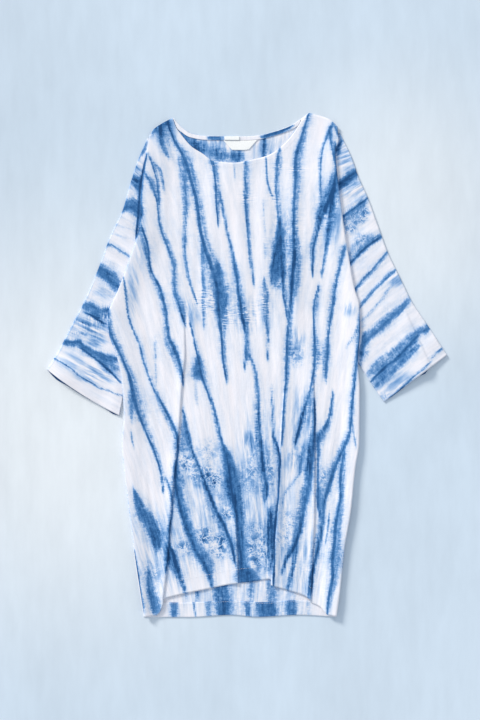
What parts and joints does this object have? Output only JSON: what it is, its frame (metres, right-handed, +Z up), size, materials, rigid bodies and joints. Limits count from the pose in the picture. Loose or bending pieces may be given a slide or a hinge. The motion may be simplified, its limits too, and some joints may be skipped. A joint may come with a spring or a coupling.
{
  "type": "tunic dress",
  "caption": "Cocoon tunic dress with a scooped neck, dropped three-quarter sleeves and a longer back hem, laid flat, in white cloth with blue shibori dye.",
  "frame": {"origin": "centre of the laid-out dress, on the surface it lies on", "axes": "+Y from hem to neck, +X to the right as seen from above, +Z up from the surface"},
  "size_m": [0.7998, 1.0079, 0.0106],
  "materials": {
    "dyed_cloth": "plain-weave cotton, white with blue resist dye",
    "plain_cloth": "plain-weave cotton, white",
    "label_tape": "smooth woven tape, blank"
  },
  "bodies": {
    "root": {"front": "dyed_cloth", "back": "dyed_cloth", "sleeve_left": "dyed_cloth", "sleeve_right": "dyed_cloth", "neck_facing_back": "plain_cloth", "label": "label_tape", "size_tab": "label_tape"}
  },
  "joints": []
}
